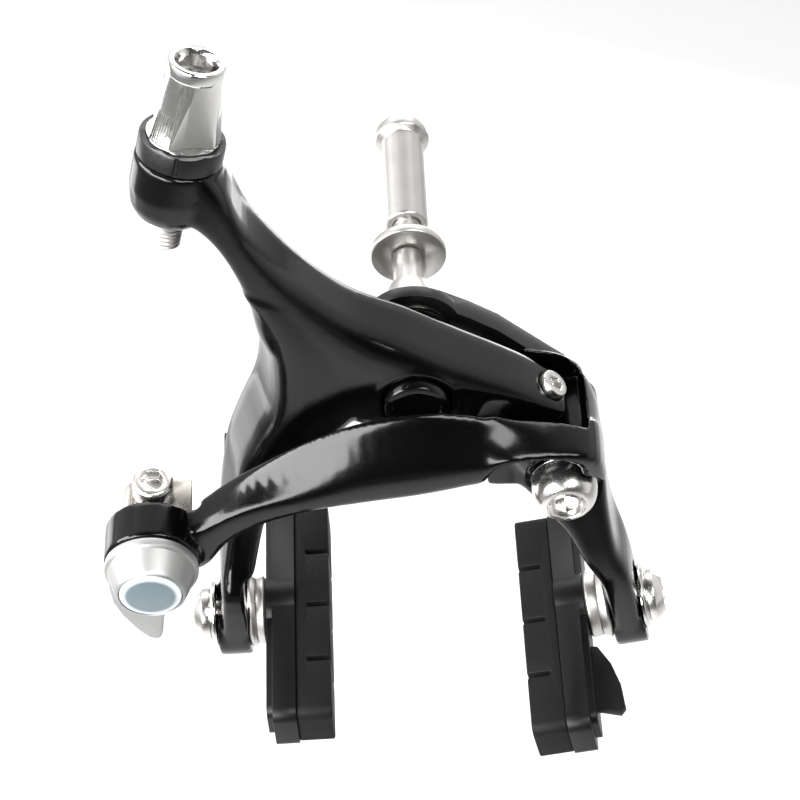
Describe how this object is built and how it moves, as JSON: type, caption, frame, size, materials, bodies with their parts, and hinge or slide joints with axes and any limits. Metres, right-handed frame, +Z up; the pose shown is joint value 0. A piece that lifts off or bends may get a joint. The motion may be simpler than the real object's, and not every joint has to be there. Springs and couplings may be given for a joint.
{
  "type": "rim brake caliper",
  "caption": "Dual-pivot side-pull rim brake caliper, black forged arms, cable adjuster, quick release and two brake shoes.",
  "frame": {"origin": "on the mounting bolt's axis, at the face that seats against the frame or fork", "axes": "+Y back along the mounting bolt, +Z up, +X to the right seen from the front"},
  "size_m": [0.1043, 0.104, 0.1346],
  "materials": {
    "arm_black": "gloss black enamel over forged aluminium",
    "silver": "polished",
    "satin_silver": "satin",
    "steel": "satin",
    "pad_rubber": "matte",
    "holder_black": "matte",
    "collar_black": "semi-gloss",
    "cap_blue_grey": "gloss"
  },
  "bodies": {
    "mount_group": {"bridge": "arm_black", "mounting_bolt": "steel", "hub_washer": "steel", "cap_washer": "steel", "cap_nut": "arm_black", "side_pivot_stud": "steel", "side_pivot_washers": "silver", "side_dome_nut": "silver", "return_spring": "steel", "spring_guide": "collar_black"},
    "fixing_nut": {"fixing_washer": "steel", "sleeve_nut": "satin_silver"},
    "y_arm_group": {"y_arm": "arm_black", "y_arm_slider": "collar_black", "adjuster_collar": "collar_black"},
    "centering_screw_body": {"centering_screw": "silver"},
    "stem_body": {"adjuster_stem": "steel"},
    "barrel_body": {"adjuster_barrel": "silver"},
    "c_arm_group": {"c_arm": "arm_black"},
    "quick_release": {"quick_release_shaft": "steel", "quick_release_lever": "satin_silver", "quick_release_cap": "cap_blue_grey", "shaft_clip": "steel"},
    "cable_anchor": {"anchor_block": "steel", "anchor_plate": "steel", "anchor_bolt": "silver"},
    "left_shoe": {"left_shoe_holder": "holder_black", "left_rubber_block": "pad_rubber", "left_dished_washers": "satin_silver", "left_shoe_bolt": "silver", "left_outer_washer": "silver"},
    "right_shoe": {"right_shoe_holder": "holder_black", "right_rubber_block": "pad_rubber", "right_dished_washers": "satin_silver", "right_shoe_bolt": "silver", "right_outer_washer": "silver"}
  },
  "joints": [
    {"name": "nut_travel", "type": "slide", "parent": "mount_group", "child": "fixing_nut", "axis": [0, 1, 0], "range_m": [0, 0.06]},
    {"name": "y_arm_swing", "type": "hinge", "parent": "mount_group", "child": "y_arm_group", "pos_m": [0, -0.018, 0], "axis": [0, 1, 0], "range_deg": [-7.5, 0]},
    {"name": "c_arm_swing", "type": "hinge", "parent": "mount_group", "child": "c_arm_group", "pos_m": [0.0263, -0.02, -0.0195], "axis": [0, 1, 0], "range_deg": [0, 15]},
    {"name": "centering_turn", "type": "hinge", "parent": "y_arm_group", "child": "centering_screw_body", "pos_m": [0.0246, -0.0196, -0.0059], "axis": [0.6613, 0, 0.7501], "range_deg": [-180, 180]},
    {"name": "adjuster_lift", "type": "slide", "parent": "y_arm_group", "child": "stem_body", "axis": [0.2435, 0.1685, 0.9552], "range_m": [-0.003, 0]},
    {"name": "barrel_turn", "type": "hinge", "parent": "y_arm_group", "child": "barrel_body", "pos_m": [-0.03657, -0.01282, 0.05355], "axis": [0.2435, 0.1685, 0.9552], "range_deg": [0, 1080]},
    {"name": "quick_release_turn", "type": "hinge", "parent": "c_arm_group", "child": "quick_release", "pos_m": [-0.0487, -0.04, -0.023], "axis": [0, 1, 0], "range_deg": [-90, 0]},
    {"name": "anchor_swivel", "type": "hinge", "parent": "c_arm_group", "child": "cable_anchor", "pos_m": [-0.0487, -0.031, -0.023], "axis": [0, 1, 0], "range_deg": [-12, 12]},
    {"name": "left_shoe_height", "type": "slide", "parent": "y_arm_group", "child": "left_shoe", "axis": [-0.0262, 0, 0.9997], "range_m": [-0.0018, 0.0072]},
    {"name": "right_shoe_height", "type": "slide", "parent": "c_arm_group", "child": "right_shoe", "axis": [-0.1908, 0, 0.9816], "range_m": [-0.0028, 0.0062]}
  ],
  "couplings": [
    {"joint": "c_arm_swing", "follows": "y_arm_swing", "ratio": -2},
    {"joint": "barrel_turn", "follows": "adjuster_lift", "rad_per_m": -6283.2}
  ]
}
